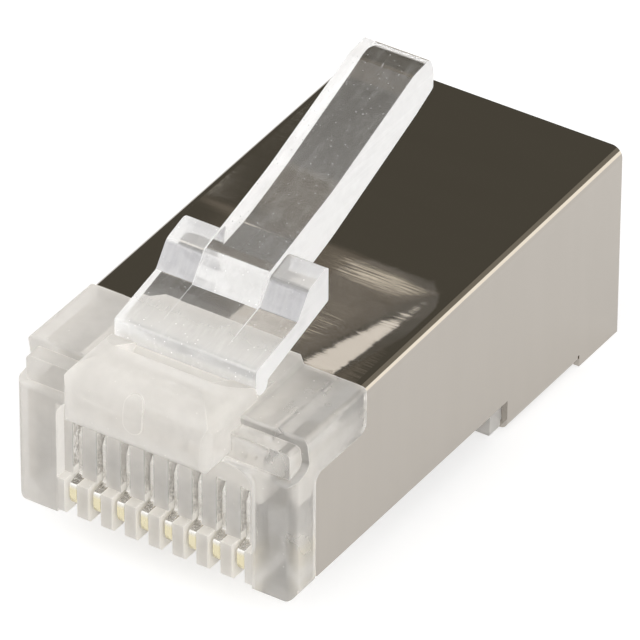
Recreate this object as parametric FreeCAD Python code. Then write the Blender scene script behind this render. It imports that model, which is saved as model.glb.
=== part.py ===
import FreeCAD, Part
import math
import os

# Shielded eight-contact modular plug.
# Working axes, mm: X across the plug, Y from the comb's front face towards the cable,
# Z from the underside of the nose up to the latch.

# ---- overall body
BODY_WIDTH = 11.7          # across the shield's side plates
BODY_LENGTH = 22.0         # comb front to the shield's rear edge
NOSE_TOP = 6.58            # top plane of the nose towers, level with the roof's front edge
ROOF_RISE = 0.4            # how much the shield's roof climbs from its front edge to its rear
REAR_DROP = 1.04           # how far the flaps under the rear body stand below the nose
SKIRT_DROP = 0.16          # how much lower still the rear skirts and the housing's foot reach

# ---- shield, one folded sheet
SHEET = 0.25               # sheet thickness
BEND_OUTER = 0.45          # outer radius of the roof's long bends
FLAP_BEND = 0.3            # outer radius of the bends under the body
ROOF_FRONT = 4.72          # front edge of the roof
NOTCH_HALF = 3.3           # half width of the shallow notch in that edge, at its mouth
NOTCH_DEPTH = 0.42         # depth of the notch; its ends slant at 45 degrees
DISH_REAR = 11.1           # the shallow dish pressed into the roof under the latch ends here
DISH_RUN_OUT = 9.9         # its floor turns up here to run out
DISH_DEPTH = 0.12          # its depth at the roof's front edge
DISH_REAR_DEPTH = 0.04     # its depth where the floor turns up
DISH_FLOOR_HALF = 2.9      # half width of its floor at the roof's front edge
DISH_EDGE_HALF = 4.5       # half width over its slanting sides, there
DISH_REAR_HALF = 5.35      # half width where it runs out
SIDE_FRONT = 1.45          # front edge of the side plates, below the shoulder
SIDE_SHOULDER = 4.72       # height of the step in the side plates' front edge
SIDE_LOW = 0.24            # lower edge of the side plates beside the contacts
SIDE_CORNER = 0.4          # radius of the side plates' front corners
FLAP_FRONT = 14.29         # the flaps that fold under the body start here
FLAP_LENGTH = 4.91         # along the body
SLIT_WIDTH = 0.1           # relief slit between the flaps and the plain rear skirts
SLIT_RISE = 0.35           # height of the slit above the flaps' underside
SEAM = 0.12                # gap between the two flaps on the centre line

# ---- clear housing
SHIELD_FIT = 0.03          # between the moulding and the sheet, on each side
NOSE_HALF = 5.9            # half width of the nose, nearly flush with the shield
NOSE_CORNER = 0.35         # vertical front corners of the nose
NOSE_LOW_CORNER = 0.42     # long lower corners of the nose
TOWER_FACE = 1.05          # foot of the towers' upper front face, behind the comb front
TOWER_LEAN = 0.22          # that face leans forward by this much at its top
TOWER_LEDGE = 5.1          # height of the ledge at the comb front
TOWER_LEDGE_RISE = 0.2     # how much the ledge climbs to the upper face
LEDGE_EDGE = 0.25          # radius of the ledge's front edge
LEDGE_FILLET = 0.35        # radius between the ledge and the upper face
MOULD_EDGE = 0.12          # small radius that the moulded edges have
HOUSING_REAR = 21.7        # rear face of the moulding, inside the shield
STEP_FRONT = 13.55         # front of the foot that the housing stands on, ahead of the flaps
STEP_ROUND = 0.35          # its rounded edges

# ---- contacts and their comb
CONTACTS = 8
PITCH = 1.02
BLADE = 0.3                # thickness of a contact blade
BLADE_FIT = 0.03           # between a blade and its slot, on each side
MOUTH = 0.54               # width of the comb's mouths
MOUTH_TOP = 1.52           # height of the mouths at the comb front
MOUTH_LENGTH = 5.4         # how far the mouths run along the underside
MOUTH_DEPTH = 0.8          # depth of that stretch
MOUTH_BACK = 0.95          # the mouths are full height up to here
COMB_CHAMFER = 0.14        # lower front edge of the comb's walls
RECESS_HALF = 4.15         # half width of the recess above the comb
RECESS_DEPTH = 0.48        # from the comb front to the recess's wall
RECESS_TOP = 5.0
RECESS_CORNER = 0.8
BLADE_FRONT = 0.15         # front edge of the blades, behind the comb front
BLADE_LENGTH = 3.3
BLADE_LOW = 0.3            # contact edge of the blades
BLADE_HEIGHT = 3.5         # contact edge to the tips of the teeth
BLADE_NOSE_RADIUS = 0.5
BLADE_STEP = 0.62          # the blade's upper part stands this far behind its front edge
BLADE_STEP_DROP = 0.2      # that step begins this far below the mouths' top
BLADE_STEP_RISE = 0.15     # and climbs by this much
BLADE_STEP_ROUND = 0.1
TOOTH_DEPTH = 0.75
TEETH = 3

# ---- wire way and cable way inside the housing
WIRE_FRONT = 1.3           # blind end of the wire way
WIRE_FLOOR = 3.3
WIRE_TOP = 5.25
WIRE_RIB = 0.18            # ribs that keep the wires apart
WIRE_RIB_HEIGHT = 0.6
WIRE_RIB_END = 8.6
CABLE_FRONT = 12.2         # the wire way opens into the cable way here
CABLE_TAPER = 2.0          # length of the taper between the two
TAPER_FLOOR = 2.7          # floor and corner radius where the taper starts
TAPER_CORNER = 0.3
CABLE_HALF = 4.65
CABLE_FLOOR = 0.3
CABLE_TOP = 5.75
CABLE_CORNER = 0.6
CABLE_LEAD_IN = 0.4        # chamfer round the cable mouth

# ---- strain relief in the underside
RELIEF_FRONT = 8.9
RELIEF_REAR = 12.9
RELIEF_HALF = 3.4
RELIEF_CEILING = 3.5       # the window runs up into the cable way
RELIEF_GAP = 0.25          # slot round the bar
RELIEF_WEB = 0.35          # thin web that the bar folds in on
RELIEF_BAR = 1.3           # height of the bar
RELIEF_BITE = 0.3          # rounded front edge of the bar, which grips the cable
RELIEF_SLOPE = 0.6         # length of the slope from the bar down to its web
RELIEF_CHAMFER = 0.15      # lower front edge of the bar
RELIEF_ROOT = 0.1          # the web runs this far into the moulding

# ---- latch root block on the nose
ROOT_HALF = 3.1
ROOT_FRONT = -1.3
ROOT_LOW = 5.08
ROOT_TOP = 7.68
ROOT_LEAN = 0.1            # the front face leans back by this much at its top
ROOT_BROW = 1.2            # radius over the front face
ROOT_SIDE = 0.5            # radius of the block's front corners in plan
ROOT_SHOULDER = 1.0        # radius of its upper corners, seen from the front
ROOT_LOWER = 0.45          # radius of its lower corners and lower front edge
ROOT_DEPTH = 0.5           # how deep the block is rooted in the towers
RIDGE_BACK = 0.68          # rear edge of the ridge
POCKET_HALF = 2.03
POCKET_FLOOR = 6.72
CHEEK_RISE = 0.35          # the cheeks beside the pocket end this far above its floor
PAD_HALF = 0.4             # half width of the raised oval gate pad on the front face
PAD_HEIGHT = 1.5
PAD_MIDDLE = 6.6           # height of its centre
PAD_RISE = 0.05            # how far it stands out

# ---- latch
LATCH_HALF = 3.0           # half width of the plate and of the locking shoulders
HINGE_Y = 2.4              # flexing line of the latch
HINGE_Z = 6.9
FOOT = 0.36                # half thickness of the latch's foot, rounded about the flexing line
HINGE_FIT = 0.03           # between the rounded foot and its seat
SEAT_FRONT_TOP = 6.92      # lips of the seat, before and behind the foot
SEAT_REAR_TOP = 6.75
SEAT_FRONT_LIP = 0.08      # width of the front lip
SEAT_REAR_LIP = 0.12       # width of the rear lip
SEAT_FRONT_FOOT = 0.4      # the seat runs out this far before and behind the foot
SEAT_REAR_FOOT = 0.5
SEAT_ROOT = 0.3            # how deep the seat is rooted in the nose
PLATE_FRONT_TOP = 7.68
PLATE_REAR = 4.66          # rear end of the flat front plate
PLATE_REAR_TOP = 8.27
PLATE_UNDER = 6.96         # underside of the plate where it meets the foot
STRIP_FRONT = 2.65         # the plate's middle strip, as wide as the tab, starts to rise here
STRIP_RISE = 0.05          # how far it stands out at the foot of the facet
SHOULDER_RAMP_END = 5.35   # top of the steep ramp up to the shoulders
SHOULDER_RAMP_TOP = 9.2
SHOULDER_REAR = 6.83       # locking faces, which the jack's stops catch
SHOULDER_TOP = 9.64
SHOULDER_LOW = 8.11        # lower edge of the locking faces
SHOULDER_BROW = 0.4        # radius over the locking faces
SHOULDER_BEND = 0.5        # radius at the top of the ramp
SHOULDER_EDGE = 0.08       # radius of the locking faces' lower edge
PLATE_BEND = 0.1           # radius of the plate's bends
LATCH_CORNER = 0.25        # plan radius of the shoulders' rear corners
TAB_HALF = 1.38
TAB_START = 4.55           # foot of the facet in front of the tab
TAB_CREST = 5.38           # top edge of that facet
TAB_CREST_TOP = 9.42
TAB_MIDDLE = 9.4           # the tab's upper side bends slightly here
TAB_MIDDLE_TOP = 10.53
TAB_BEND = 12.0
TAB_END = 16.33
TAB_END_TOP = 12.64
TAB_END_LOW = 11.42
TAB_END_FLAT = 14.75       # the thumb end's short flat starts here
TAB_END_LEAN = 0.5         # the end face leans forward by this much at its top
TAB_END_DROP = 0.12        # the flat falls by this much to its front
TAB_END_BEND = 1.0         # radius of the tab's smaller bends
TAB_END_BROW = 0.25        # upper edge of the end face
TAB_END_EDGE = 0.15        # lower edge of the end face
TAB_END_SLANT = 1.4        # length of the slanting face under the end
TAB_END_CLIMB = 0.66       # how much that face climbs
TAB_THICK = 1.95           # thickness measured straight down, along the free run
TAB_FREE = 8.15            # the free run's underside starts here
TAB_STEP = 0.08            # there, it lies this far above the shoulders' lower edge
TAB_CORNER = 0.4           # plan radius of the tab's end corners

# ---- worked out
CORE_DROP = SHEET + SHIELD_FIT
CORE_HALF = BODY_WIDTH / 2 - CORE_DROP
FLAP_REAR = FLAP_FRONT + FLAP_LENGTH
FAR = 60.0                 # beyond the whole part
PAST = 1.0                 # how far a cutting body runs past the face it opens
NEAR = 1e-3                # tolerance for finding edges
FRAME_SHIFT = FreeCAD.Vector(0, -(BODY_LENGTH + ROOT_FRONT) / 2, REAR_DROP + SKIRT_DROP)


def rounded_face(corners, to_space):
    """Face inside a closed outline of (a, b) or (a, b, radius) corners."""
    joins = []
    for index, corner in enumerate(corners):
        here = FreeCAD.Vector(corner[0], corner[1], 0)
        before = corners[index - 1]
        after = corners[(index + 1) % len(corners)]
        radius = corner[2] if len(corner) > 2 else 0
        if radius == 0:
            joins.append((here, None, here))
            continue
        back = (FreeCAD.Vector(before[0], before[1], 0) - here).normalize()
        ahead = (FreeCAD.Vector(after[0], after[1], 0) - here).normalize()
        half_angle = back.getAngle(ahead) / 2
        reach = radius / math.tan(half_angle)
        inward = (back + ahead).normalize()
        centre = here + inward * (radius / math.sin(half_angle))
        joins.append((here + back * reach, centre - inward * radius, here + ahead * reach))
    edges = []
    for index, (first, middle, last) in enumerate(joins):
        if middle is not None:
            edges.append(Part.Arc(to_space(first), to_space(middle), to_space(last)).toShape())
        following = joins[(index + 1) % len(joins)][0]
        if last.distanceToPoint(following) > NEAR / 1000:
            edges.append(Part.LineSegment(to_space(last), to_space(following)).toShape())
    return Part.Face(Part.Wire(edges))


def prism_x(corners, low, high):
    """Solid with the (y, z) outline, from x = low to x = high."""
    face = rounded_face(corners, lambda p: FreeCAD.Vector(low, p.x, p.y))
    return face.extrude(FreeCAD.Vector(high - low, 0, 0))


def prism_y(corners, low, high):
    """Solid with the (x, z) outline, from y = low to y = high."""
    face = rounded_face(corners, lambda p: FreeCAD.Vector(p.x, low, p.y))
    return face.extrude(FreeCAD.Vector(0, high - low, 0))


def prism_z(corners, low, high):
    """Solid with the (x, y) outline, from z = low to z = high."""
    face = rounded_face(corners, lambda p: FreeCAD.Vector(p.x, p.y, low))
    return face.extrude(FreeCAD.Vector(0, 0, high - low))


def block(x_low, x_high, y_low, y_high, z_low, z_high):
    corner = FreeCAD.Vector(x_low, y_low, z_low)
    return Part.makeBox(x_high - x_low, y_high - y_low, z_high - z_low, corner)


def round_edges(solid, radius, wanted):
    """Fillet the edges whose two ends both satisfy wanted(point)."""
    edges = [edge for edge in solid.Edges if all(wanted(vertex.Point) for vertex in edge.Vertexes)]
    return solid.makeFillet(radius, edges)


def round_long_edges(solid, radius, half, foot):
    """Fillet the two edges that run along the body at x = -half and x = half, above foot."""
    for side in (-1, 1):
        def on_this_side(point):
            return abs(point.x - side * half) < NEAR and point.z > foot - NEAR

        solid = round_edges(solid, radius, on_this_side)
    return solid


def roof_height(y, drop):
    """Height of the roof's outer face at y, less drop."""
    slope = ROOF_RISE / (BODY_LENGTH - ROOF_FRONT)
    return NOSE_TOP + (y - ROOF_FRONT) * slope - drop


def roof_line(y_front, y_rear, drop):
    """Corners along the roof from front to rear, drop below its outer face."""
    return [(y_front, roof_height(y_front, drop)), (y_rear, roof_height(y_rear, drop))]


def flat_solid(faces):
    """Solid from flat faces, each a list of its corners."""
    return Part.Solid(Part.Shell([Part.Face(Part.makePolygon(face + face[:1])) for face in faces]))


def dish(drop):
    """Wedge that presses the dish into a roof that lies drop below the outer face."""
    clear = DISH_REAR_DEPTH / 2
    front = ROOF_FRONT - PAST
    rear = DISH_REAR + clear * (DISH_REAR - DISH_RUN_OUT) / DISH_REAR_DEPTH
    side_view = prism_x([
        (front, roof_height(front, drop) - DISH_DEPTH),
        (ROOF_FRONT, roof_height(ROOF_FRONT, drop) - DISH_DEPTH),
        (DISH_RUN_OUT, roof_height(DISH_RUN_OUT, drop) - DISH_REAR_DEPTH),
        (rear, roof_height(rear, drop) + clear),
        (front, roof_height(front, drop) + clear),
    ], -BODY_WIDTH / 2, BODY_WIDTH / 2)
    side_slope = DISH_DEPTH / (DISH_EDGE_HALF - DISH_FLOOR_HALF)
    spread = (DISH_REAR_HALF - DISH_EDGE_HALF) / (DISH_REAR - ROOF_FRONT)
    keel = []
    left = []
    right = []
    for y in (front, rear):
        edge = DISH_EDGE_HALF + spread * (y - ROOF_FRONT)
        top = roof_height(y, drop) + clear
        keel.append(FreeCAD.Vector(0, y, roof_height(y, drop) - edge * side_slope))
        left.append(FreeCAD.Vector(-edge - clear / side_slope, y, top))
        right.append(FreeCAD.Vector(edge + clear / side_slope, y, top))
    between_sides = flat_solid([
        [keel[0], left[0], right[0]],
        [keel[1], left[1], right[1]],
        [keel[0], keel[1], left[1], left[0]],
        [keel[0], keel[1], right[1], right[0]],
        [left[0], left[1], right[1], right[0]],
    ])
    return side_view.common(between_sides)


def notch(gap, low, high):
    """Block that fills the notch in the roof's front edge, gap short of it all round."""
    mouth = NOTCH_HALF - gap
    inner = mouth - NOTCH_DEPTH
    front = ROOF_FRONT - gap
    return prism_z([
        (-mouth, front - PAST), (mouth, front - PAST), (mouth, front),
        (inner, front + NOTCH_DEPTH), (-inner, front + NOTCH_DEPTH), (-mouth, front),
    ], low, high)


def slot_centres():
    return [(index - (CONTACTS - 1) / 2) * PITCH for index in range(CONTACTS)]


# ------------------------------------------------------------------------ shield

def lower_rounded(half, floor, radius, y_low, y_high):
    """Long block with rounded lower corners, to intersect a body with."""
    return prism_y([
        (-half, floor, radius), (half, floor, radius), (half, FAR), (-half, FAR),
    ], y_low, y_high)


def shield_skin(half, outline, roof_foot, roof_radius, floor, flap_radius):
    """Closed block with the (y, z) outline and rounded long edges."""
    solid = prism_x(outline, -half, half)
    solid = round_long_edges(solid, roof_radius, half, roof_foot)
    return solid.common(lower_rounded(half, floor, flap_radius, -FAR, FAR))


def shield():
    half = BODY_WIDTH / 2
    inner_half = half - SHEET
    floor = -REAR_DROP
    outer_outline = [
        (FLAP_FRONT, floor),
        (FLAP_FRONT, SIDE_LOW),
        (SIDE_FRONT, SIDE_LOW, SIDE_CORNER / 2),
        (SIDE_FRONT, SIDE_SHOULDER, SIDE_CORNER),
        (ROOF_FRONT, SIDE_SHOULDER, SIDE_CORNER),
    ] + roof_line(ROOF_FRONT, BODY_LENGTH, 0) + [(BODY_LENGTH, floor)]
    outer = shield_skin(half, outer_outline, NOSE_TOP, BEND_OUTER, floor, FLAP_BEND)
    inner_front = SIDE_FRONT - PAST
    inner_outline = [(inner_front, floor + SHEET)]
    inner_outline += roof_line(inner_front, BODY_LENGTH + PAST, SHEET)
    inner_outline += [(BODY_LENGTH + PAST, floor + SHEET)]
    inner = shield_skin(
        inner_half, inner_outline, roof_height(inner_front, SHEET), BEND_OUTER - SHEET,
        floor + SHEET, FLAP_BEND - SHEET,
    )
    skirt_start = FLAP_REAR + SLIT_WIDTH
    for side in (-1, 1):
        middle = side * (half - SHEET / 2)
        outer = outer.fuse(block(
            middle - SHEET / 2, middle + SHEET / 2,
            skirt_start, BODY_LENGTH, floor - SKIRT_DROP, SIDE_LOW,
        ))
    sheet = outer.cut(dish(0)).cut(inner.cut(dish(SHEET)))
    sheet = sheet.cut(block(-inner_half, inner_half, FLAP_REAR, FAR, -FAR, SIDE_LOW))
    sheet = sheet.cut(block(-FAR, FAR, FLAP_REAR, skirt_start, -FAR, floor + SLIT_RISE))
    sheet = sheet.cut(block(-SEAM / 2, SEAM / 2, 0, BODY_LENGTH, -FAR, floor + SHEET + NEAR))
    return sheet.cut(notch(0, SIDE_SHOULDER, FAR)).removeSplitter()


# ----------------------------------------------------------------------- housing

def housing_foot():
    """Cross bar that the housing stands on, just ahead of the flaps."""
    low = -REAR_DROP - SKIRT_DROP
    rear = FLAP_FRONT - SHIELD_FIT
    side_view = prism_x([
        (STEP_FRONT, low, STEP_ROUND), (rear, low), (rear, STEP_ROUND), (STEP_FRONT, STEP_ROUND),
    ], -CORE_HALF, CORE_HALF)
    return side_view.common(lower_rounded(CORE_HALF, low, STEP_ROUND, STEP_FRONT, rear))


def housing_core():
    """The part of the moulding that the shield covers, with its foot."""
    step = FLAP_FRONT - SHIELD_FIT
    floor = CORE_DROP - REAR_DROP
    front = RECESS_DEPTH / 2
    outline = roof_line(front, HOUSING_REAR, CORE_DROP)
    outline += [(HOUSING_REAR, floor), (step, floor), (step, 0), (front, 0)]
    core = prism_x(outline, -CORE_HALF, CORE_HALF)
    core = round_long_edges(core, BEND_OUTER - SHEET, CORE_HALF, roof_height(front, CORE_DROP))
    fore_part = lower_rounded(CORE_HALF, 0, NOSE_LOW_CORNER, 0, step)
    rear_part = lower_rounded(CORE_HALF, floor, FLAP_BEND - SHEET, step, HOUSING_REAR)
    core = core.common(fore_part.fuse(rear_part)).cut(dish(CORE_DROP))
    return core.fuse(housing_foot())


def nose():
    """Full-width nose: the comb's block and the two towers over it."""
    face_rear = SIDE_FRONT - SHIELD_FIT
    top_rear = ROOF_FRONT - SHIELD_FIT
    shelf = SIDE_SHOULDER + SHIELD_FIT
    side_view = prism_x([
        (0, 0),
        (0, TOWER_LEDGE, LEDGE_EDGE),
        (TOWER_FACE, TOWER_LEDGE + TOWER_LEDGE_RISE, LEDGE_FILLET),
        (TOWER_FACE - TOWER_LEAN, NOSE_TOP, MOULD_EDGE),
        (top_rear, NOSE_TOP),
        (top_rear, shelf, SIDE_CORNER),
        (face_rear, shelf, SIDE_CORNER - SHIELD_FIT),
        (face_rear, 0),
    ], -NOSE_HALF, NOSE_HALF)
    plan = prism_z([
        (-NOSE_HALF, 0, NOSE_CORNER),
        (NOSE_HALF, 0, NOSE_CORNER),
        (NOSE_HALF, FAR),
        (-NOSE_HALF, FAR),
    ], -FAR, FAR)
    front_view = prism_y([
        (-NOSE_HALF, 0, NOSE_LOW_CORNER),
        (NOSE_HALF, 0, NOSE_LOW_CORNER),
        (NOSE_HALF, NOSE_TOP, BEND_OUTER / 2),
        (-NOSE_HALF, NOSE_TOP, BEND_OUTER / 2),
    ], -FAR, FAR)
    tongue = notch(SHIELD_FIT, NOSE_TOP - ROOT_DEPTH, NOSE_TOP)
    return side_view.common(plan).common(front_view).fuse(tongue)


def root_side_view(grow, half):
    """The latch root block's side view between x = -half and half, with its front grown."""
    root_rear = TOWER_FACE + ROOT_DEPTH
    cheek_rear = HINGE_Y - FOOT - 3 * HINGE_FIT
    return prism_x([
        (root_rear, ROOT_LOW),
        (ROOT_FRONT - grow, ROOT_LOW, ROOT_LOWER),
        (ROOT_FRONT + ROOT_LEAN - grow, ROOT_TOP + grow, ROOT_BROW),
        (RIDGE_BACK, ROOT_TOP + grow, MOULD_EDGE),
        (cheek_rear, POCKET_FLOOR + CHEEK_RISE, MOULD_EDGE),
        (cheek_rear, NOSE_TOP - ROOT_DEPTH),
        (root_rear, NOSE_TOP - ROOT_DEPTH),
    ], -half, half)


def gate_pad():
    """Low oval pad on the block's front face, where the mould was filled."""
    low = PAD_MIDDLE - PAD_HEIGHT / 2
    high = PAD_MIDDLE + PAD_HEIGHT / 2
    radius = PAD_HALF - NEAR
    oval = prism_y([
        (-PAD_HALF, low, radius), (PAD_HALF, low, radius),
        (PAD_HALF, high, radius), (-PAD_HALF, high, radius),
    ], -FAR, 0)
    return oval.common(root_side_view(PAD_RISE, PAD_HALF))


def root_block():
    """Block on the nose that the latch is moulded to."""
    side_view = root_side_view(0, ROOT_HALF)
    plan = prism_z([
        (-ROOT_HALF, ROOT_FRONT, ROOT_SIDE),
        (ROOT_HALF, ROOT_FRONT, ROOT_SIDE),
        (ROOT_HALF, HINGE_Y),
        (-ROOT_HALF, HINGE_Y),
    ], 0, FAR)
    front_view = prism_y([
        (-ROOT_HALF, ROOT_LOW, ROOT_LOWER),
        (ROOT_HALF, ROOT_LOW, ROOT_LOWER),
        (ROOT_HALF, ROOT_TOP, ROOT_SHOULDER),
        (-ROOT_HALF, ROOT_TOP, ROOT_SHOULDER),
    ], -FAR, FAR)
    pocket = block(-POCKET_HALF, POCKET_HALF, RIDGE_BACK, HINGE_Y, POCKET_FLOOR, FAR)
    return side_view.common(plan).common(front_view).cut(pocket).fuse(gate_pad())


def latch_seat():
    """Low saddle that the latch's foot stands in."""
    front = HINGE_Y - FOOT
    rear = HINGE_Y + FOOT
    root = NOSE_TOP - SEAT_ROOT
    return prism_x([
        (front - SEAT_FRONT_FOOT, root),
        (front - SEAT_FRONT_FOOT, POCKET_FLOOR, PLATE_BEND),
        (front - SEAT_FRONT_LIP, SEAT_FRONT_TOP),
        (HINGE_Y, SEAT_FRONT_TOP),
        (HINGE_Y, SEAT_REAR_TOP),
        (rear + SEAT_REAR_LIP, SEAT_REAR_TOP),
        (rear + SEAT_REAR_FOOT, NOSE_TOP),
        (rear + SEAT_REAR_FOOT, root),
    ], -LATCH_HALF, LATCH_HALF)


def comb_cuts():
    """Mouths and blade slots, open to the underside."""
    cuts = []
    slot_half = BLADE / 2 + BLADE_FIT
    slot_rear = BLADE_FRONT + BLADE_LENGTH + BLADE_FIT
    slot_top = BLADE_LOW + BLADE_HEIGHT + BLADE_FIT
    for centre in slot_centres():
        cuts.append(prism_x([
            (-PAST, -PAST),
            (MOUTH_LENGTH, -PAST),
            (MOUTH_LENGTH, 0),
            (MOUTH_LENGTH - MOUTH_DEPTH, MOUTH_DEPTH),
            (MOUTH_BACK, MOUTH_DEPTH),
            (MOUTH_BACK, MOUTH_TOP),
            (-PAST, MOUTH_TOP),
        ], centre - MOUTH / 2, centre + MOUTH / 2))
        cuts.append(block(
            centre - slot_half, centre + slot_half,
            BLADE_FRONT - BLADE_FIT, slot_rear, -PAST, slot_top,
        ))
    return cuts


def wire_way():
    """Wide slot for the eight wires, with low ribs between them."""
    rear = CABLE_FRONT + PAST
    way = block(-RECESS_HALF, RECESS_HALF, WIRE_FRONT, rear, WIRE_FLOOR, WIRE_TOP)
    for centre in slot_centres()[:-1]:
        middle = centre + PITCH / 2
        way = way.cut(block(
            middle - WIRE_RIB / 2, middle + WIRE_RIB / 2,
            0, WIRE_RIB_END, WIRE_FLOOR - PAST, WIRE_FLOOR + WIRE_RIB_HEIGHT,
        ))
    return way


def cable_section(half, floor, top, radius, y):
    """Closed wire of the cable way's section at y."""
    face = rounded_face([
        (-half, floor, radius), (half, floor, radius), (half, top, radius), (-half, top, radius),
    ], lambda p: FreeCAD.Vector(p.x, y, p.y))
    return face.OuterWire


def cable_way():
    """Cable cavity, open at the rear, with a taper down to the wire way and a lead-in."""
    narrow = cable_section(
        RECESS_HALF, TAPER_FLOOR, WIRE_TOP, TAPER_CORNER, CABLE_FRONT - CABLE_TAPER)
    wide = cable_section(CABLE_HALF, CABLE_FLOOR, CABLE_TOP, CABLE_CORNER, CABLE_FRONT)
    taper = Part.makeLoft([narrow, wide], True, True)
    straight = Part.Face(wide).extrude(FreeCAD.Vector(0, HOUSING_REAR + PAST - CABLE_FRONT, 0))
    inner_mouth = cable_section(
        CABLE_HALF, CABLE_FLOOR, CABLE_TOP, CABLE_CORNER, HOUSING_REAR - CABLE_LEAD_IN)
    outer_mouth = cable_section(
        CABLE_HALF + CABLE_LEAD_IN, CABLE_FLOOR - CABLE_LEAD_IN, CABLE_TOP + CABLE_LEAD_IN,
        CABLE_CORNER + CABLE_LEAD_IN, HOUSING_REAR)
    lead_in = Part.makeLoft([inner_mouth, outer_mouth], True, True)
    return taper.fuse(straight).fuse(lead_in)


def strain_relief():
    """Window in the underside, and the bar that stays in it on a thin web."""
    window = block(-RELIEF_HALF, RELIEF_HALF, RELIEF_FRONT, RELIEF_REAR, -PAST, RELIEF_CEILING)
    front = RELIEF_FRONT + RELIEF_GAP
    rear = RELIEF_REAR - RELIEF_GAP
    bar = prism_x([
        (front, RELIEF_CHAMFER),
        (front, RELIEF_BAR, RELIEF_BITE),
        (rear - RELIEF_SLOPE, RELIEF_BAR, RELIEF_BITE),
        (rear, RELIEF_WEB),
        (RELIEF_REAR + RELIEF_ROOT, RELIEF_WEB),
        (RELIEF_REAR + RELIEF_ROOT, 0),
        (front + RELIEF_CHAMFER, 0),
    ], -RELIEF_HALF + RELIEF_GAP, RELIEF_HALF - RELIEF_GAP)
    return window, bar


def comb_front_chamfer():
    """Bevel along the lower front edge of the comb."""
    return prism_x([(0, 0), (COMB_CHAMFER, 0), (0, COMB_CHAMFER)], -RECESS_HALF, RECESS_HALF)


def housing():
    body = nose().fuse(housing_core()).fuse(root_block()).fuse(latch_seat())
    recess = prism_y([
        (-RECESS_HALF, MOUTH_TOP),
        (RECESS_HALF, MOUTH_TOP),
        (RECESS_HALF, RECESS_TOP, RECESS_CORNER),
        (-RECESS_HALF, RECESS_TOP, RECESS_CORNER),
    ], -FAR, RECESS_DEPTH)
    window, bar = strain_relief()
    room_half = LATCH_HALF + HINGE_FIT
    foot_room = Part.makeCylinder(
        FOOT + HINGE_FIT, 2 * room_half, FreeCAD.Vector(-room_half, HINGE_Y, HINGE_Z),
        FreeCAD.Vector(1, 0, 0))
    cuts = [recess, wire_way(), cable_way(), window, foot_room, comb_front_chamfer()]
    for cut in cuts + comb_cuts():
        body = body.cut(cut)
    return body.fuse(bar).removeSplitter()


# ------------------------------------------------------------------------- latch

def latch_plate():
    """Wide part: rounded foot, flat plate and locking shoulders."""
    front = HINGE_Y - FOOT
    rear = HINGE_Y + FOOT
    plate = prism_x([
        (front, HINGE_Z),
        (front, PLATE_FRONT_TOP, MOULD_EDGE),
        (PLATE_REAR, PLATE_REAR_TOP, PLATE_BEND),
        (SHOULDER_RAMP_END, SHOULDER_RAMP_TOP, SHOULDER_BEND),
        (SHOULDER_REAR, SHOULDER_TOP, SHOULDER_BROW),
        (SHOULDER_REAR, SHOULDER_LOW, SHOULDER_EDGE),
        (rear, PLATE_UNDER, PLATE_BEND),
        (rear, HINGE_Z),
    ], -LATCH_HALF, LATCH_HALF)
    rounded_foot = Part.makeCylinder(
        FOOT, 2 * LATCH_HALF, FreeCAD.Vector(-LATCH_HALF, HINGE_Y, HINGE_Z),
        FreeCAD.Vector(1, 0, 0))
    plan = prism_z([
        (-LATCH_HALF, 0),
        (LATCH_HALF, 0),
        (LATCH_HALF, SHOULDER_REAR, LATCH_CORNER),
        (-LATCH_HALF, SHOULDER_REAR, LATCH_CORNER),
    ], 0, FAR)
    return plate.fuse(rounded_foot).common(plan)


def latch_tab():
    """Narrow thumb tab behind the shoulders, with the low strip that runs out along the plate."""
    run_low = TAB_MIDDLE_TOP - TAB_THICK
    plate_slope = (PLATE_REAR_TOP - PLATE_FRONT_TOP) / (PLATE_REAR - HINGE_Y + FOOT)
    strip_front_top = PLATE_REAR_TOP - plate_slope * (PLATE_REAR - STRIP_FRONT)
    side_view = prism_x([
        (STRIP_FRONT, strip_front_top),
        (TAB_START, PLATE_REAR_TOP - plate_slope * (PLATE_REAR - TAB_START) + STRIP_RISE),
        (TAB_CREST, TAB_CREST_TOP, MOULD_EDGE),
        (TAB_MIDDLE, TAB_MIDDLE_TOP, TAB_BEND),
        (TAB_END_FLAT, TAB_END_TOP - TAB_END_DROP, TAB_END_BEND),
        (TAB_END - TAB_END_LEAN, TAB_END_TOP, TAB_END_BROW),
        (TAB_END, TAB_END_LOW, TAB_END_EDGE),
        (TAB_END - TAB_END_SLANT, TAB_END_LOW - TAB_END_CLIMB, TAB_END_BEND),
        (TAB_MIDDLE, run_low, TAB_BEND),
        (TAB_FREE, SHOULDER_LOW + TAB_STEP, TAB_END_BEND),
        (STRIP_FRONT, strip_front_top - STRIP_RISE),
    ], -TAB_HALF, TAB_HALF)
    plan = prism_z([
        (-TAB_HALF, 0),
        (TAB_HALF, 0),
        (TAB_HALF, TAB_END, TAB_CORNER),
        (-TAB_HALF, TAB_END, TAB_CORNER),
    ], 0, FAR)
    return side_view.common(plan)


def latch():
    return latch_plate().fuse(latch_tab()).removeSplitter()


# ---------------------------------------------------------------------- contacts

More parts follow.
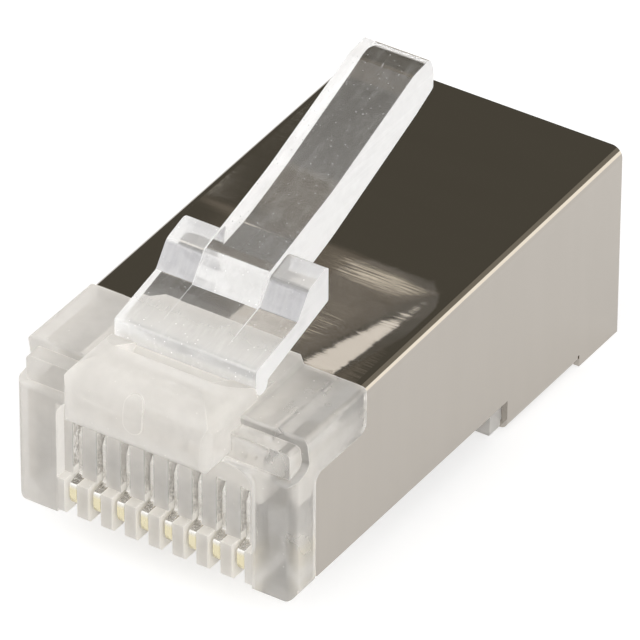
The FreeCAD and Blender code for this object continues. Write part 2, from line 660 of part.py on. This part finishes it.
def contact(centre):
    """Blade with a rounded contact edge and piercing teeth."""
    rear = BLADE_FRONT + BLADE_LENGTH
    step = BLADE_FRONT + BLADE_STEP
    tip = BLADE_LOW + BLADE_HEIGHT
    root = tip - TOOTH_DEPTH
    corners = [
        (BLADE_FRONT, BLADE_LOW, BLADE_NOSE_RADIUS),
        (BLADE_FRONT, MOUTH_TOP - BLADE_STEP_DROP, BLADE_STEP_ROUND),
        (step, MOUTH_TOP - BLADE_STEP_DROP + BLADE_STEP_RISE, BLADE_STEP_ROUND),
    ]
    tooth_pitch = (rear - step) / TEETH
    for index in range(TEETH):
        start = step + index * tooth_pitch
        corners += [(start, root), (start + tooth_pitch / 2, tip)]
    corners += [(rear, root), (rear, BLADE_LOW, BLADE_NOSE_RADIUS)]
    return prism_x(corners, centre - BLADE / 2, centre + BLADE / 2)


def export(name, solid):
    solid = solid.copy()
    solid.translate(FRAME_SHIFT)
    solid.exportStep("parts/" + name + ".step")
    box = solid.BoundBox
    print(name, solid.isValid(), len(solid.Solids), round(solid.Volume, 3),
          [round(v, 2) for v in (box.XMin, box.XMax, box.YMin, box.YMax, box.ZMin, box.ZMax)])


def main():
    os.makedirs("parts", exist_ok=True)
    export("housing", housing())
    export("shield", shield())
    export("latch", latch())
    for index, centre in enumerate(slot_centres()):
        export("contact_" + str(index + 1), contact(centre))


main()
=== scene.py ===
import bpy
import math
from mathutils import Matrix, Vector


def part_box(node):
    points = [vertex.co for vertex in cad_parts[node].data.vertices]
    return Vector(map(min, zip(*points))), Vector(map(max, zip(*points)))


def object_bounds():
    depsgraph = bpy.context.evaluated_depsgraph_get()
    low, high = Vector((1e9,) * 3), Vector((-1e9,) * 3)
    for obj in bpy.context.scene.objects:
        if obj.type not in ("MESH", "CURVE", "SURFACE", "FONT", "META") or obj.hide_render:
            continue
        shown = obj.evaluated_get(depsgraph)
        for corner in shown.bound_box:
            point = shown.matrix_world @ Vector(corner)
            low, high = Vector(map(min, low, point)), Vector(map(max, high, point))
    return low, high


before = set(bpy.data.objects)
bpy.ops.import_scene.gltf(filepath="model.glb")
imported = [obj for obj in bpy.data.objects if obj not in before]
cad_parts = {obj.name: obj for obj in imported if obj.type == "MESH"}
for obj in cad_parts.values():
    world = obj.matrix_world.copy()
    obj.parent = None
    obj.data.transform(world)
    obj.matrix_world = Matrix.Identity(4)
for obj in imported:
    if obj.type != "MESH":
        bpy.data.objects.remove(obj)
CAD_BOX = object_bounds()
MM = 0.001


def in_mm(box):
    """Lowest and highest corners of a box in metres, as vectors in mm."""
    return [Vector(corner) / MM for corner in box]


# ---- boxes of the nodes that the materials line up with; Y runs from the nose to the cable
SHIELD_LOW, SHIELD_HIGH = in_mm(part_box("shield"))
LATCH_LOW = in_mm(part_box("latch"))[0]
BLADE_LOW, BLADE_HIGH = in_mm(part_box("contact_1"))
LAST_BLADE_LOW = in_mm(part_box("contact_8"))[0]

# ---- view: a long lens, above and to the right of the plug's front
AZIMUTH = math.radians(32.87)
ELEVATION = math.radians(35.13)
ROLL = math.radians(0.3)
DISTANCE = 300 * MM
LENS = 467
AIM = Vector((-0.11, 0.58, 4.70)) * MM

# ---- shield, in mm
SIDE_PLATE_LEAD = 3.27       # its side plates start this far ahead of its roof
ROOF_FRONT = SHIELD_LOW.y + SIDE_PLATE_LEAD
ROOF_RISE = 0.4
ROOF_SLOPE = ROOF_RISE / (SHIELD_HIGH.y - ROOF_FRONT)
BEND_WIDTH = 0.46
FLAT_HALF = SHIELD_HIGH.x - BEND_WIDTH
DISH_LENGTH = 6.38
DISH_RUN_OUT = 5.18          # its floor turns up this far behind its front
DISH_DEPTH = 0.12
DISH_REAR_DEPTH = 0.04       # where the floor turns up
DISH_FLOOR_HALF = 2.9
DISH_EDGE_HALF = 4.5         # half width at the front, over its slanting sides
DISH_REAR_HALF = 5.35
FRAY = 0.018                 # how far the roll marks tip the sheet's normal

# ---- housing and blades, in mm
PAINTED_LIGHT_HALF = 4.5             # the painted lightening fades from this far left to this far right
ROOT_HALF = 3.0              # latch root block
ROOT_FOOT = 6.2
COMB_HALF = 4.1
COMB_TOP = 5.9
FOOT_TOP = 1.0
FOOT_REACH = 7.5             # from the roof's front edge back to the foot
PITCH = (LAST_BLADE_LOW.x - BLADE_LOW.x) / 7
SLOT_HALF = 0.18             # half width of a blade's slot, as a share of the pitch
SLOT_VIEW = 1.9              # height over which the blades show in their slots
GOLD_HEIGHT = 0.8            # height of the gold along a blade's contact edge

# ---- latch, in mm
TAB_HALF = 1.38
SLOPE_FOOT = LATCH_LOW.z + 1.26      # foot of the ramps and of the facet
SHOULDER_FOOT = LATCH_LOW.z + 1.86
HAZY_PLATE = LATCH_LOW.y + 0.11      # the plate's haze fades from here
CLEAR_PLATE = LATCH_LOW.y + 2.21     # to here
TAB_START = LATCH_LOW.y + 4.31
TAB_LENGTH = 8.0

# ---- set, in mm and degrees
FLOOR_HALF = 1500
FLOOR_GAP = 0.01             # between the plug's lowest face and the floor
LAMP_DISTANCE = 500
CARD_DISTANCE = 250
BEHIND_VIEW = (208, 36)      # azimuth and elevation of what the roof mirrors


def view_axes(azimuth, elevation):
    """Unit vectors to the viewer, to the right and up, for a camera at that azimuth and elevation."""
    back = Vector((
        math.sin(azimuth) * math.cos(elevation),
        -math.cos(azimuth) * math.cos(elevation),
        math.sin(elevation),
    ))
    right = Vector((math.cos(azimuth), math.sin(azimuth), 0))
    return back, right, back.cross(right)


def stand(thing, place, right, up, back):
    """Put a thing in the scene with its own axes along right, up and back."""
    turn = Matrix((right, up, back)).transposed().to_4x4()
    thing.matrix_world = Matrix.Translation(place) @ turn
    bpy.context.scene.collection.objects.link(thing)


def add_camera():
    back, right, up = view_axes(AZIMUTH, ELEVATION)
    turned_right = right * math.cos(ROLL) + up * math.sin(ROLL)
    turned_up = up * math.cos(ROLL) - right * math.sin(ROLL)
    data = bpy.data.cameras.new("camera")
    data.lens = LENS
    data.clip_start = 10 * MM
    data.clip_end = 10
    camera = bpy.data.objects.new("camera", data)
    stand(camera, AIM + back * DISTANCE, turned_right, turned_up, back)
    bpy.context.scene.camera = camera


# ------------------------------------------------------------------ node helpers

class Nodes:
    """The node tree of a material or a world, with short calls to add and join nodes."""

    def __init__(self, owner, output):
        owner.use_nodes = True
        self.owner = owner
        self.tree = owner.node_tree
        self.tree.nodes.clear()
        self.surface = self.add(output).inputs["Surface"]

    def add(self, kind, **settings):
        node = self.tree.nodes.new(kind)
        for name, value in settings.items():
            setattr(node, name, value)
        return node

    def feed(self, value, socket):
        """Join another node's output to the socket, or set a number, a colour or a vector there."""
        if isinstance(value, bpy.types.NodeSocket):
            self.tree.links.new(value, socket)
        elif socket.type == "RGBA":
            socket.default_value = (*value, 1)
        else:
            socket.default_value = value

    def filled(self, kind, **values):
        """New node with values for its inputs; _ stands for the space in an input's name."""
        node = self.add(kind)
        for name, value in values.items():
            self.feed(value, node.inputs[name.replace("_", " ")])
        return node

    def shader(self, kind, **values):
        return self.filled(kind, **values).outputs[0]

    def place(self, scale):
        """Object coordinates in millimetres, times scale along each axis."""
        coordinates = self.add("ShaderNodeTexCoord")
        mapping = self.add("ShaderNodeMapping")
        mapping.inputs["Scale"].default_value = [value / MM for value in scale]
        self.feed(coordinates.outputs["Object"], mapping.inputs["Vector"])
        return mapping.outputs["Vector"]

    def split(self, vector):
        """The vector's X, Y and Z."""
        return tuple(self.filled("ShaderNodeSeparateXYZ", Vector=vector).outputs)

    def position(self):
        """X, Y and Z in millimetres."""
        return self.split(self.place((1, 1, 1)))

    def noise(self, scale, detail=3.0, roughness=0.5):
        return self.filled("ShaderNodeTexNoise", Vector=self.place(scale), Scale=1.0,
                           Detail=detail, Roughness=roughness).outputs["Fac"]

    def remap(self, value, low_in, high_in, low_out, high_out, clamp=True):
        node = self.filled("ShaderNodeMapRange", Value=value, From_Min=low_in, From_Max=high_in,
                           To_Min=low_out, To_Max=high_out)
        node.clamp = clamp
        return node.outputs["Result"]

    def over(self, value, limit, soft):
        """0 below the limit, rising to 1 over soft."""
        return self.remap(value, limit, limit + soft, 0, 1)

    def under(self, value, limit, soft):
        """1 below the limit, falling to 0 over soft."""
        return self.remap(value, limit, limit + soft, 1, 0)

    def inside(self, value, low, high, soft):
        """1 where low < value < high, fading to 0 over soft beyond either end."""
        return self.times(self.over(value, low - soft, soft), self.under(value, high, soft))

    def math(self, operation, *values):
        node = self.add("ShaderNodeMath", operation=operation)
        for value, socket in zip(values, node.inputs):
            self.feed(value, socket)
        return node.outputs["Value"]

    def times(self, first, second):
        return self.math("MULTIPLY", first, second)

    def plus(self, first, second, share=None):
        """first + second, or first + second x share."""
        added = second if share is None else self.times(second, share)
        return self.math("ADD", first, added)

    def vector_math(self, operation, first, second):
        node = self.add("ShaderNodeVectorMath", operation=operation)
        self.feed(first, node.inputs[0])
        self.feed(second, node.inputs[1])
        return node

    def mix(self, kind, amount, first, second):
        """Mix of kind RGBA or VECTOR: first where amount is 0, second where it is 1."""
        node = self.add("ShaderNodeMix", data_type=kind)
        for name, value in (("Factor", amount), ("A", first), ("B", second)):
            self.feed(value, node.inputs[name])
        return node.outputs["Result"]

    def mix_shader(self, amount, first, second):
        node = self.add("ShaderNodeMixShader")
        for socket, value in zip(node.inputs, (amount, first, second)):
            self.feed(value, socket)
        return node.outputs["Shader"]

    def bump(self, height, distance, **normal):
        """Normal with the height x distance in mm pressed into it."""
        return self.filled("ShaderNodeBump", Height=height, Distance=distance * MM,
                           **normal).outputs["Normal"]


def material_nodes(name):
    return Nodes(bpy.data.materials.new(name), "ShaderNodeOutputMaterial")


def seen_directly(n):
    """1 for camera rays and for rays that a mirror or a clear piece sends on."""
    path = n.add("ShaderNodeLightPath")
    either = n.math("MAXIMUM", path.outputs["Is Camera Ray"], path.outputs["Is Glossy Ray"])
    return n.math("MAXIMUM", either, path.outputs["Is Transmission Ray"])


# ---------------------------------------------------------------- clear plastic

def painted_edge_highlight(n):
    """1 along sharp edges, 0 on the faces between them; the plastics are lightened there as a painted
    highlight.
    """
    rounded = n.add("ShaderNodeBevel", samples=6)
    rounded.inputs["Radius"].default_value = 0.07 * MM
    plain = n.add("ShaderNodeNewGeometry")
    alike = n.vector_math("DOT_PRODUCT", rounded.outputs["Normal"], plain.outputs["Normal"])
    return n.remap(alike.outputs["Value"], 0.99, 0.90, 0, 1)


def dust(n, size, share):
    """Sparse small specks, size in mm, over that share of the cells."""
    cells = n.add("ShaderNodeTexVoronoi", feature="F1")
    n.feed(n.place((0.35 / size,) * 3), cells.inputs["Vector"])
    n.feed(1.0, cells.inputs["Scale"])
    chosen = n.split(cells.outputs["Color"])[0]
    return n.times(n.under(cells.outputs["Distance"], 0.10, 0.12), n.over(chosen, 1 - share, 0.05))


def lamp_or_mirror_ray(n):
    """1 for rays to a lamp, 0.93 for rays that come from a mirror outside the plastic."""
    path = n.add("ShaderNodeLightPath")
    outside = n.math("LESS_THAN", path.outputs["Transmission Depth"], 0.5)
    mirrored = n.times(path.outputs["Is Glossy Ray"], n.times(outside, 0.93))
    return n.math("MAXIMUM", path.outputs["Is Shadow Ray"], mirrored)


def plastic_shader(n, haze_and_painted_light, milk, ripple, roughness, broken=None):
    """Clear polycarbonate under a share of haze in the milk colour, a share that also carries painted
    light; it glints where broken is 1.
    """
    normal = n.bump(n.noise((1.1, 0.8, 1.1)), ripple)
    if broken is not None:
        chips = n.times(n.noise((4.0, 4.0, 4.0), 2.0), broken)
        normal = n.bump(chips, 0.2, Normal=normal)
    flow = n.noise((0.5, 0.35, 0.5), 2.0)
    marks = n.noise((3.0, 3.0, 3.0), 4.0)
    clear = n.shader(
        "ShaderNodeBsdfPrincipled", IOR=1.585, Transmission_Weight=1.0, Normal=normal,
        Base_Color=n.mix("RGBA", flow, (0.985, 0.975, 0.955), (0.995, 0.99, 0.98)),
        Roughness=n.remap(marks, 0.4, 0.75, *roughness),
    )
    milky = n.mix_shader(0.5, n.shader("ShaderNodeBsdfDiffuse", Color=milk),
                         n.shader("ShaderNodeBsdfTranslucent", Color=milk))
    cloud = n.remap(n.noise((0.7, 0.7, 0.7)), 0.3, 0.7, 0.9, 1.1)
    whole = n.mix_shader(n.times(haze_and_painted_light, cloud), clear, milky)
    # lamps shine through the plastic, and the polished sheet mirrors it only faintly
    lit_through = n.shader("ShaderNodeBsdfTransparent", Color=(0.90, 0.895, 0.885))
    n.feed(n.mix_shader(lamp_or_mirror_ray(n), whole, lit_through), n.surface)


def housing_plastic():
    """Nose moulding: its haze is raised as painted light on its left, in the latch root block, in the
    comb and in the foot.
    """
    n = material_nodes("clear_moulding")
    x, y, z = n.position()
    width = n.math("ABSOLUTE", x)
    # painted light: more haze lightens the left side, the root block, the comb in the block's shade and
    # the foot near the floor
    root = n.times(n.under(width, ROOT_HALF, 0.3), n.over(z, ROOT_FOOT, 0.4))
    comb = n.times(n.under(width, COMB_HALF, 0.3), n.under(z, COMB_TOP, 0.4))
    behind_nose = n.over(y, ROOF_FRONT, FOOT_REACH)
    haze_and_painted_light = n.remap(x, -PAINTED_LIGHT_HALF, PAINTED_LIGHT_HALF, 0.58, 0.28)
    haze_and_painted_light = n.plus(haze_and_painted_light, n.times(n.under(z, FOOT_TOP, 0.3), behind_nose), 0.6)
    haze_and_painted_light = n.plus(haze_and_painted_light, root, 0.22)
    haze_and_painted_light = n.math("MAXIMUM", haze_and_painted_light, n.times(comb, 0.88))
    # the blades' slots lie at the odd half pitches, and show through the comb's front
    from_slot = n.math("ABSOLUTE", n.math("SUBTRACT", n.math("FRACT", n.math("DIVIDE", x, PITCH)), 0.5))
    slots = n.times(n.under(from_slot, SLOT_HALF, 0.06), comb)
    slots = n.times(slots, n.inside(z, BLADE_HIGH.z - SLOT_VIEW, BLADE_HIGH.z, 0.1))
    haze_and_painted_light = n.plus(haze_and_painted_light, slots, -0.6)
    # sharp edges lightened as a painted highlight
    haze_and_painted_light = n.plus(haze_and_painted_light, painted_edge_highlight(n), 0.18)
    haze_and_painted_light = n.plus(haze_and_painted_light, dust(n, 0.06, 0.06), 0.2)
    milk = n.mix("RGBA", n.noise((0.5, 0.5, 0.5)), (0.92, 0.90, 0.87), (0.97, 0.955, 0.93))
    plastic_shader(n, haze_and_painted_light, milk, 0.009, (0.02, 0.10), slots)
    return n.owner


def latch_plastic():
    """Latch: clearer than the nose, with frosted slopes; its ramps are painted grey as shade, and its
    shoulder tops and side faces are lightened as painted light, the sides as a painted highlight.
    """
    n = material_nodes("clear_latch")
    x, y, z = n.position()
    facing_x, facing_y, facing_z = n.split(n.add("ShaderNodeTexCoord").outputs["Normal"])
    on_tab = n.under(n.math("ABSOLUTE", x), TAB_HALF, 0.1)
    slope = n.times(n.over(n.times(facing_y, -1), 0.5, 0.2), n.over(z, SLOPE_FOOT, 0.6))
    facet = n.times(slope, on_tab)
    ramps = n.math("SUBTRACT", slope, facet)
    level = n.over(facing_z, 0.8, 0.15)
    shoulders = n.times(n.times(level, n.over(z, SHOULDER_FOOT, 0.3)), n.math("SUBTRACT", 1, on_tab))
    sides = n.over(n.math("ABSOLUTE", facing_x), 0.6, 0.3)
    haze_and_painted_light = n.remap(y, HAZY_PLATE, CLEAR_PLATE, 0.42, 0.06)
    haze_and_painted_light = n.plus(haze_and_painted_light, n.over(y, TAB_START, TAB_LENGTH), -0.06)
    # the facet and ramps are frosted; haze on the shoulder tops is painted light, and on the side faces
    # a painted highlight
    for place, share in ((facet, 0.38), (shoulders, 0.5), (ramps, 0.7), (sides, 0.9)):
        haze_and_painted_light = n.plus(haze_and_painted_light, place, share)
    # sharp edges lightened as a painted highlight
    haze_and_painted_light = n.plus(haze_and_painted_light, painted_edge_highlight(n), 0.5)
    haze_and_painted_light = n.plus(haze_and_painted_light, dust(n, 0.05, 0.20), 0.45)
    haze_and_painted_light = n.plus(haze_and_painted_light, n.remap(n.noise((3.5, 0.12, 3.5), 3.0, 0.6), 0.5, 0.75, 0, 0.08))
    brushed = n.remap(n.noise((5, 1.2, 1.2)), 0.3, 0.7, 0.7, 1)
    # the ramps' milk is painted grey as shade, varied by the brushed noise
    milk = n.mix("RGBA", n.times(ramps, brushed), (0.985, 0.985, 0.985), (0.60, 0.60, 0.63))
    plastic_shader(n, haze_and_painted_light, milk, 0.003, (0.02, 0.09))
    return n.owner


# ------------------------------------------------------------------------ metal

def dish_height(n):
    """Height in mm of the dish pressed into the roof, with soft creases and no left side."""
    x, y = n.position()[:2]
    along = n.math("SUBTRACT", y, ROOF_FRONT)
    spread = (DISH_REAR_HALF - DISH_EDGE_HALF) / DISH_LENGTH
    side_slope = DISH_DEPTH / (DISH_EDGE_HALF - DISH_FLOOR_HALF)
    rear_slope = DISH_REAR_DEPTH / (DISH_LENGTH - DISH_RUN_OUT)
    half = n.plus(n.times(along, spread), DISH_EDGE_HALF)
    side = n.times(n.math("SUBTRACT", half, x), side_slope)
    floor = n.remap(along, 0, DISH_RUN_OUT, DISH_DEPTH, DISH_REAR_DEPTH, clamp=False)
    rear = n.times(n.math("SUBTRACT", DISH_LENGTH, along), rear_slope)
    # the last value of each is how softly the two slopes meet
    side = n.math("SMOOTH_MAX", side, 0.0, 0.05)
    depth = n.math("SMOOTH_MIN", side, floor, 0.09)
    depth = n.math("SMOOTH_MIN", depth, rear, 0.015)
    depth = n.math("SMOOTH_MAX", depth, 0.0, 0.02)
    return n.times(depth, -1)


def frayed_roof_normal(n):
    """Normal of the roof with its dish, tipped a little sideways by the roll marks."""
    roof = n.filled("ShaderNodeCombineXYZ", Y=-ROOF_SLOPE, Z=1.0).outputs["Vector"]
    dished = n.bump(dish_height(n), 1.0, Normal=roof)
    streaks = n.remap(n.noise((0.35, 14.0, 0.35), 4.0, 0.6), 0.2, 0.8, -FRAY, FRAY)
    beside_latch = n.over(n.position()[0], 0.8, 0.6)
    frayed = n.filled("ShaderNodeCombineXYZ", X=n.times(streaks, beside_latch)).outputs["Vector"]
    return n.vector_math("ADD", dished, frayed).outputs["Vector"]


def plated_sheet():
    """Nickel-plated sheet, its roll marks running across the plug."""
    n = material_nodes("nickel_plated_sheet")
    own_normal = n.add("ShaderNodeNewGeometry").outputs["Normal"]
    between_bends = n.math("LESS_THAN", n.math("ABSOLUTE", n.position()[0]), FLAT_HALF)
    on_roof = n.times(between_bends, n.over(n.split(own_normal)[2], 0.97, 0.01))
    normal = n.mix("VECTOR", on_roof, own_normal, frayed_roof_normal(n))
    tone = n.noise((0.12, 0.9, 0.12))
    roll_marks = n.noise((0.45, 16.0, 0.45), 5.0, 0.65)
    n.feed(n.shader(
        "ShaderNodeBsdfPrincipled", Metallic=1.0,
        Base_Color=n.mix("RGBA", tone, (0.545, 0.505, 0.455), (0.575, 0.535, 0.485)),
        Roughness=n.remap(roll_marks, 0.35, 0.7, 0.02, 0.05),
        Normal=n.bump(roll_marks, 0.0005, Normal=normal),
    ), n.surface)
    return n.owner


def contact_metal():
    """Stamped blades: nickel silver above, gold along the contact edge."""
    n = material_nodes("contact_plate")
    gold = n.mix("RGBA", n.noise((2, 2, 2)), (0.86, 0.78, 0.52), (0.92, 0.85, 0.62))
    silver = n.mix("RGBA", n.noise((3, 3, 3)), (0.86, 0.84, 0.80), (0.95, 0.93, 0.90))
    above_gold = n.over(n.position()[2], BLADE_LOW.z + GOLD_HEIGHT, 0.2)
    n.feed(n.shader(
        "ShaderNodeBsdfPrincipled", Metallic=1.0,
        Base_Color=n.mix("RGBA", above_gold, gold, silver),
        Roughness=n.remap(n.noise((8, 8, 2)), 0.35, 0.7, 0.15, 0.32),
        Normal=n.bump(n.noise((5, 5, 5), 4.0), 0.015),
    ), n.surface)
    return n.owner


# ------------------------------------------------------------------------- stage

def floor_material():
    """Pale paper that keeps a soft shadow; rays that see it directly find it white."""
    n = material_nodes("pale_floor")
    grain = n.mix("RGBA", n.noise((0.05, 0.05, 0.05)), (0.50, 0.50, 0.50), (0.52, 0.52, 0.52))
    camera = n.add("ShaderNodeLightPath").outputs["Is Camera Ray"]
    strength = n.plus(n.times(seen_directly(n), 0.41), camera, 0.2)
    both = n.add("ShaderNodeAddShader")
    n.feed(n.shader("ShaderNodeBsdfDiffuse", Color=grain), both.inputs[0])
    n.feed(n.shader("ShaderNodeEmission", Strength=strength), both.inputs[1])
    # seen from below, the paper is left out
    below = n.add("ShaderNodeNewGeometry").outputs["Backfacing"]
    n.feed(n.mix_shader(below, both.outputs["Shader"], n.shader("ShaderNodeBsdfTransparent")), n.surface)
    return n.owner


def card_material(name, wall, openings):
    """Glowing card with soft-edged openings: (left, right, low, high, softness, colour), in mm."""
    n = material_nodes(name)
    across, up = n.position()[:2]
    colour = n.mix("RGBA", n.noise((0.03, 0.03, 0.03)), wall, tuple(1.02 * part for part in wall))
    for left, right, low, high, soft, light in openings:
        amount = n.times(n.inside(across, left, right, soft), n.inside(up, low, high, soft))
        colour = n.mix("RGBA", amount, colour, light)
    n.feed(n.shader("ShaderNodeEmission", Color=colour), n.surface)
    return n.owner


def plane(name, centre, across, up, edges, material):
    """Flat rectangle; its left, right, low and high edges lie that far from centre, in mm."""
    left, right, low, high = [edge * MM for edge in edges]
    corners = [(left, low, 0), (right, low, 0), (right, high, 0), (left, high, 0)]
    mesh = bpy.data.meshes.new(name)
    mesh.from_pydata(corners, [], [(0, 1, 2, 3)])
    mesh.materials.append(material)
    thing = bpy.data.objects.new(name, mesh)
    stand(thing, centre, across, up, across.cross(up))
    return thing


def add_floor():
    level = Vector((0, 0, CAD_BOX[0][2] - FLOOR_GAP * MM))
    edges = (-FLOOR_HALF, FLOOR_HALF, -FLOOR_HALF, FLOOR_HALF)
    plane("floor", level, Vector((1, 0, 0)), Vector((0, 1, 0)), edges, floor_material())


def add_card(name, direction, edges, wall, openings=(), distance=CARD_DISTANCE):
    """Card that faces the plug from that azimuth and elevation in degrees; only mirrors show it."""
    back, across, up = view_axes(*[math.radians(angle) for angle in direction])
    card = plane(name, back * distance * MM, across, up, edges, card_material(name, wall, openings))
    card.visible_camera = False
    card.visible_diffuse = False
    card.visible_transmission = False
    card.visible_shadow = False


def add_cards():
    """Painted reflections for the polished sheet: glowing cards that only it mirrors, a dark room behind
    the set with a few pale openings.
    """
    dark = (0.105, 0.098, 0.080)
    dim = (0.21, 0.19, 0.16)
    bright = (1.42, 1.39, 1.34)
    # painted reflections seen in the roof, its dish and the first part of its long bends
    add_card("painted_reflection_dark_room", BEHIND_VIEW, (-170, 140, -180, 150), dark, [
        # the dish's floor, then the slope at its rear
        (18, 30, 15.5, 45, 1.2, dim),
        (22.5, 30, 11.5, 17, 1.2, dim),
        (19.5, 21.5, 25.2, 45, 1.6, (1.5, 1.42, 1.25)),
        # the dish's right side
        (19, 39, -16, -6, 1.5, bright),
        (23, 39, -10, -1.5, 1.5, bright),
        (28, 39, -5, 4.5, 1.5, bright),
    ])
    add_card("painted_reflection_grey_wall", BEHIND_VIEW, (-800, -170, -180, 150), (0.28, 0.26, 0.22),
             distance=CARD_DISTANCE + 0.5)
    # a painted reflection seen in the right bend, over the side plate
    add_card("painted_reflection_lit_wall", (135, 8), (-60, 60, -36, 60), (1.50, 1.45, 1.33))


def add_light(name, azimuth, elevation, size, power):
    """Square softbox, size in metres and power in watts, that faces the plug from that direction."""
    data = bpy.data.lights.new(name, "AREA")
    data.shape = "SQUARE"
    data.size = size
    data.energy = power
    back, right, up = view_axes(math.radians(azimuth), math.radians(elevation))
    stand(bpy.data.objects.new(name, data), back * LAMP_DISTANCE * MM, right, up, back)


def add_lights():
    add_light("overhead_softbox", -20, 80, 0.5, 0.28)
    add_light("left_softbox", -70, 25, 0.35, 0.5)
    add_light("right_softbox", 70, 25, 0.35, 0.9)


def add_world():
    """White where it is seen, a little less where it lights the set."""
    world = bpy.data.worlds.new("studio")
    n = Nodes(world, "ShaderNodeOutputWorld")
    room = n.shader("ShaderNodeBackground", Color=(0.72, 0.71, 0.70))
    white = n.shader("ShaderNodeBackground", Color=(1, 1, 1), Strength=1.0)
    n.feed(n.mix_shader(seen_directly(n), room, white), n.surface)
    bpy.context.scene.world = world


# ------------------------------------------------------------------------- object

def dress(node, material):
    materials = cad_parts[node].data.materials
    materials.clear()
    materials.append(material)


def dress_all():
    dress("housing", housing_plastic())
    dress("latch", latch_plastic())
    dress("shield", plated_sheet())
    metal = contact_metal()
    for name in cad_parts:
        if name.startswith("contact_"):
            dress(name, metal)


add_camera()
add_floor()
add_cards()
add_lights()
add_world()
dress_all()

bpy.context.scene.view_settings.view_transform = "Standard"
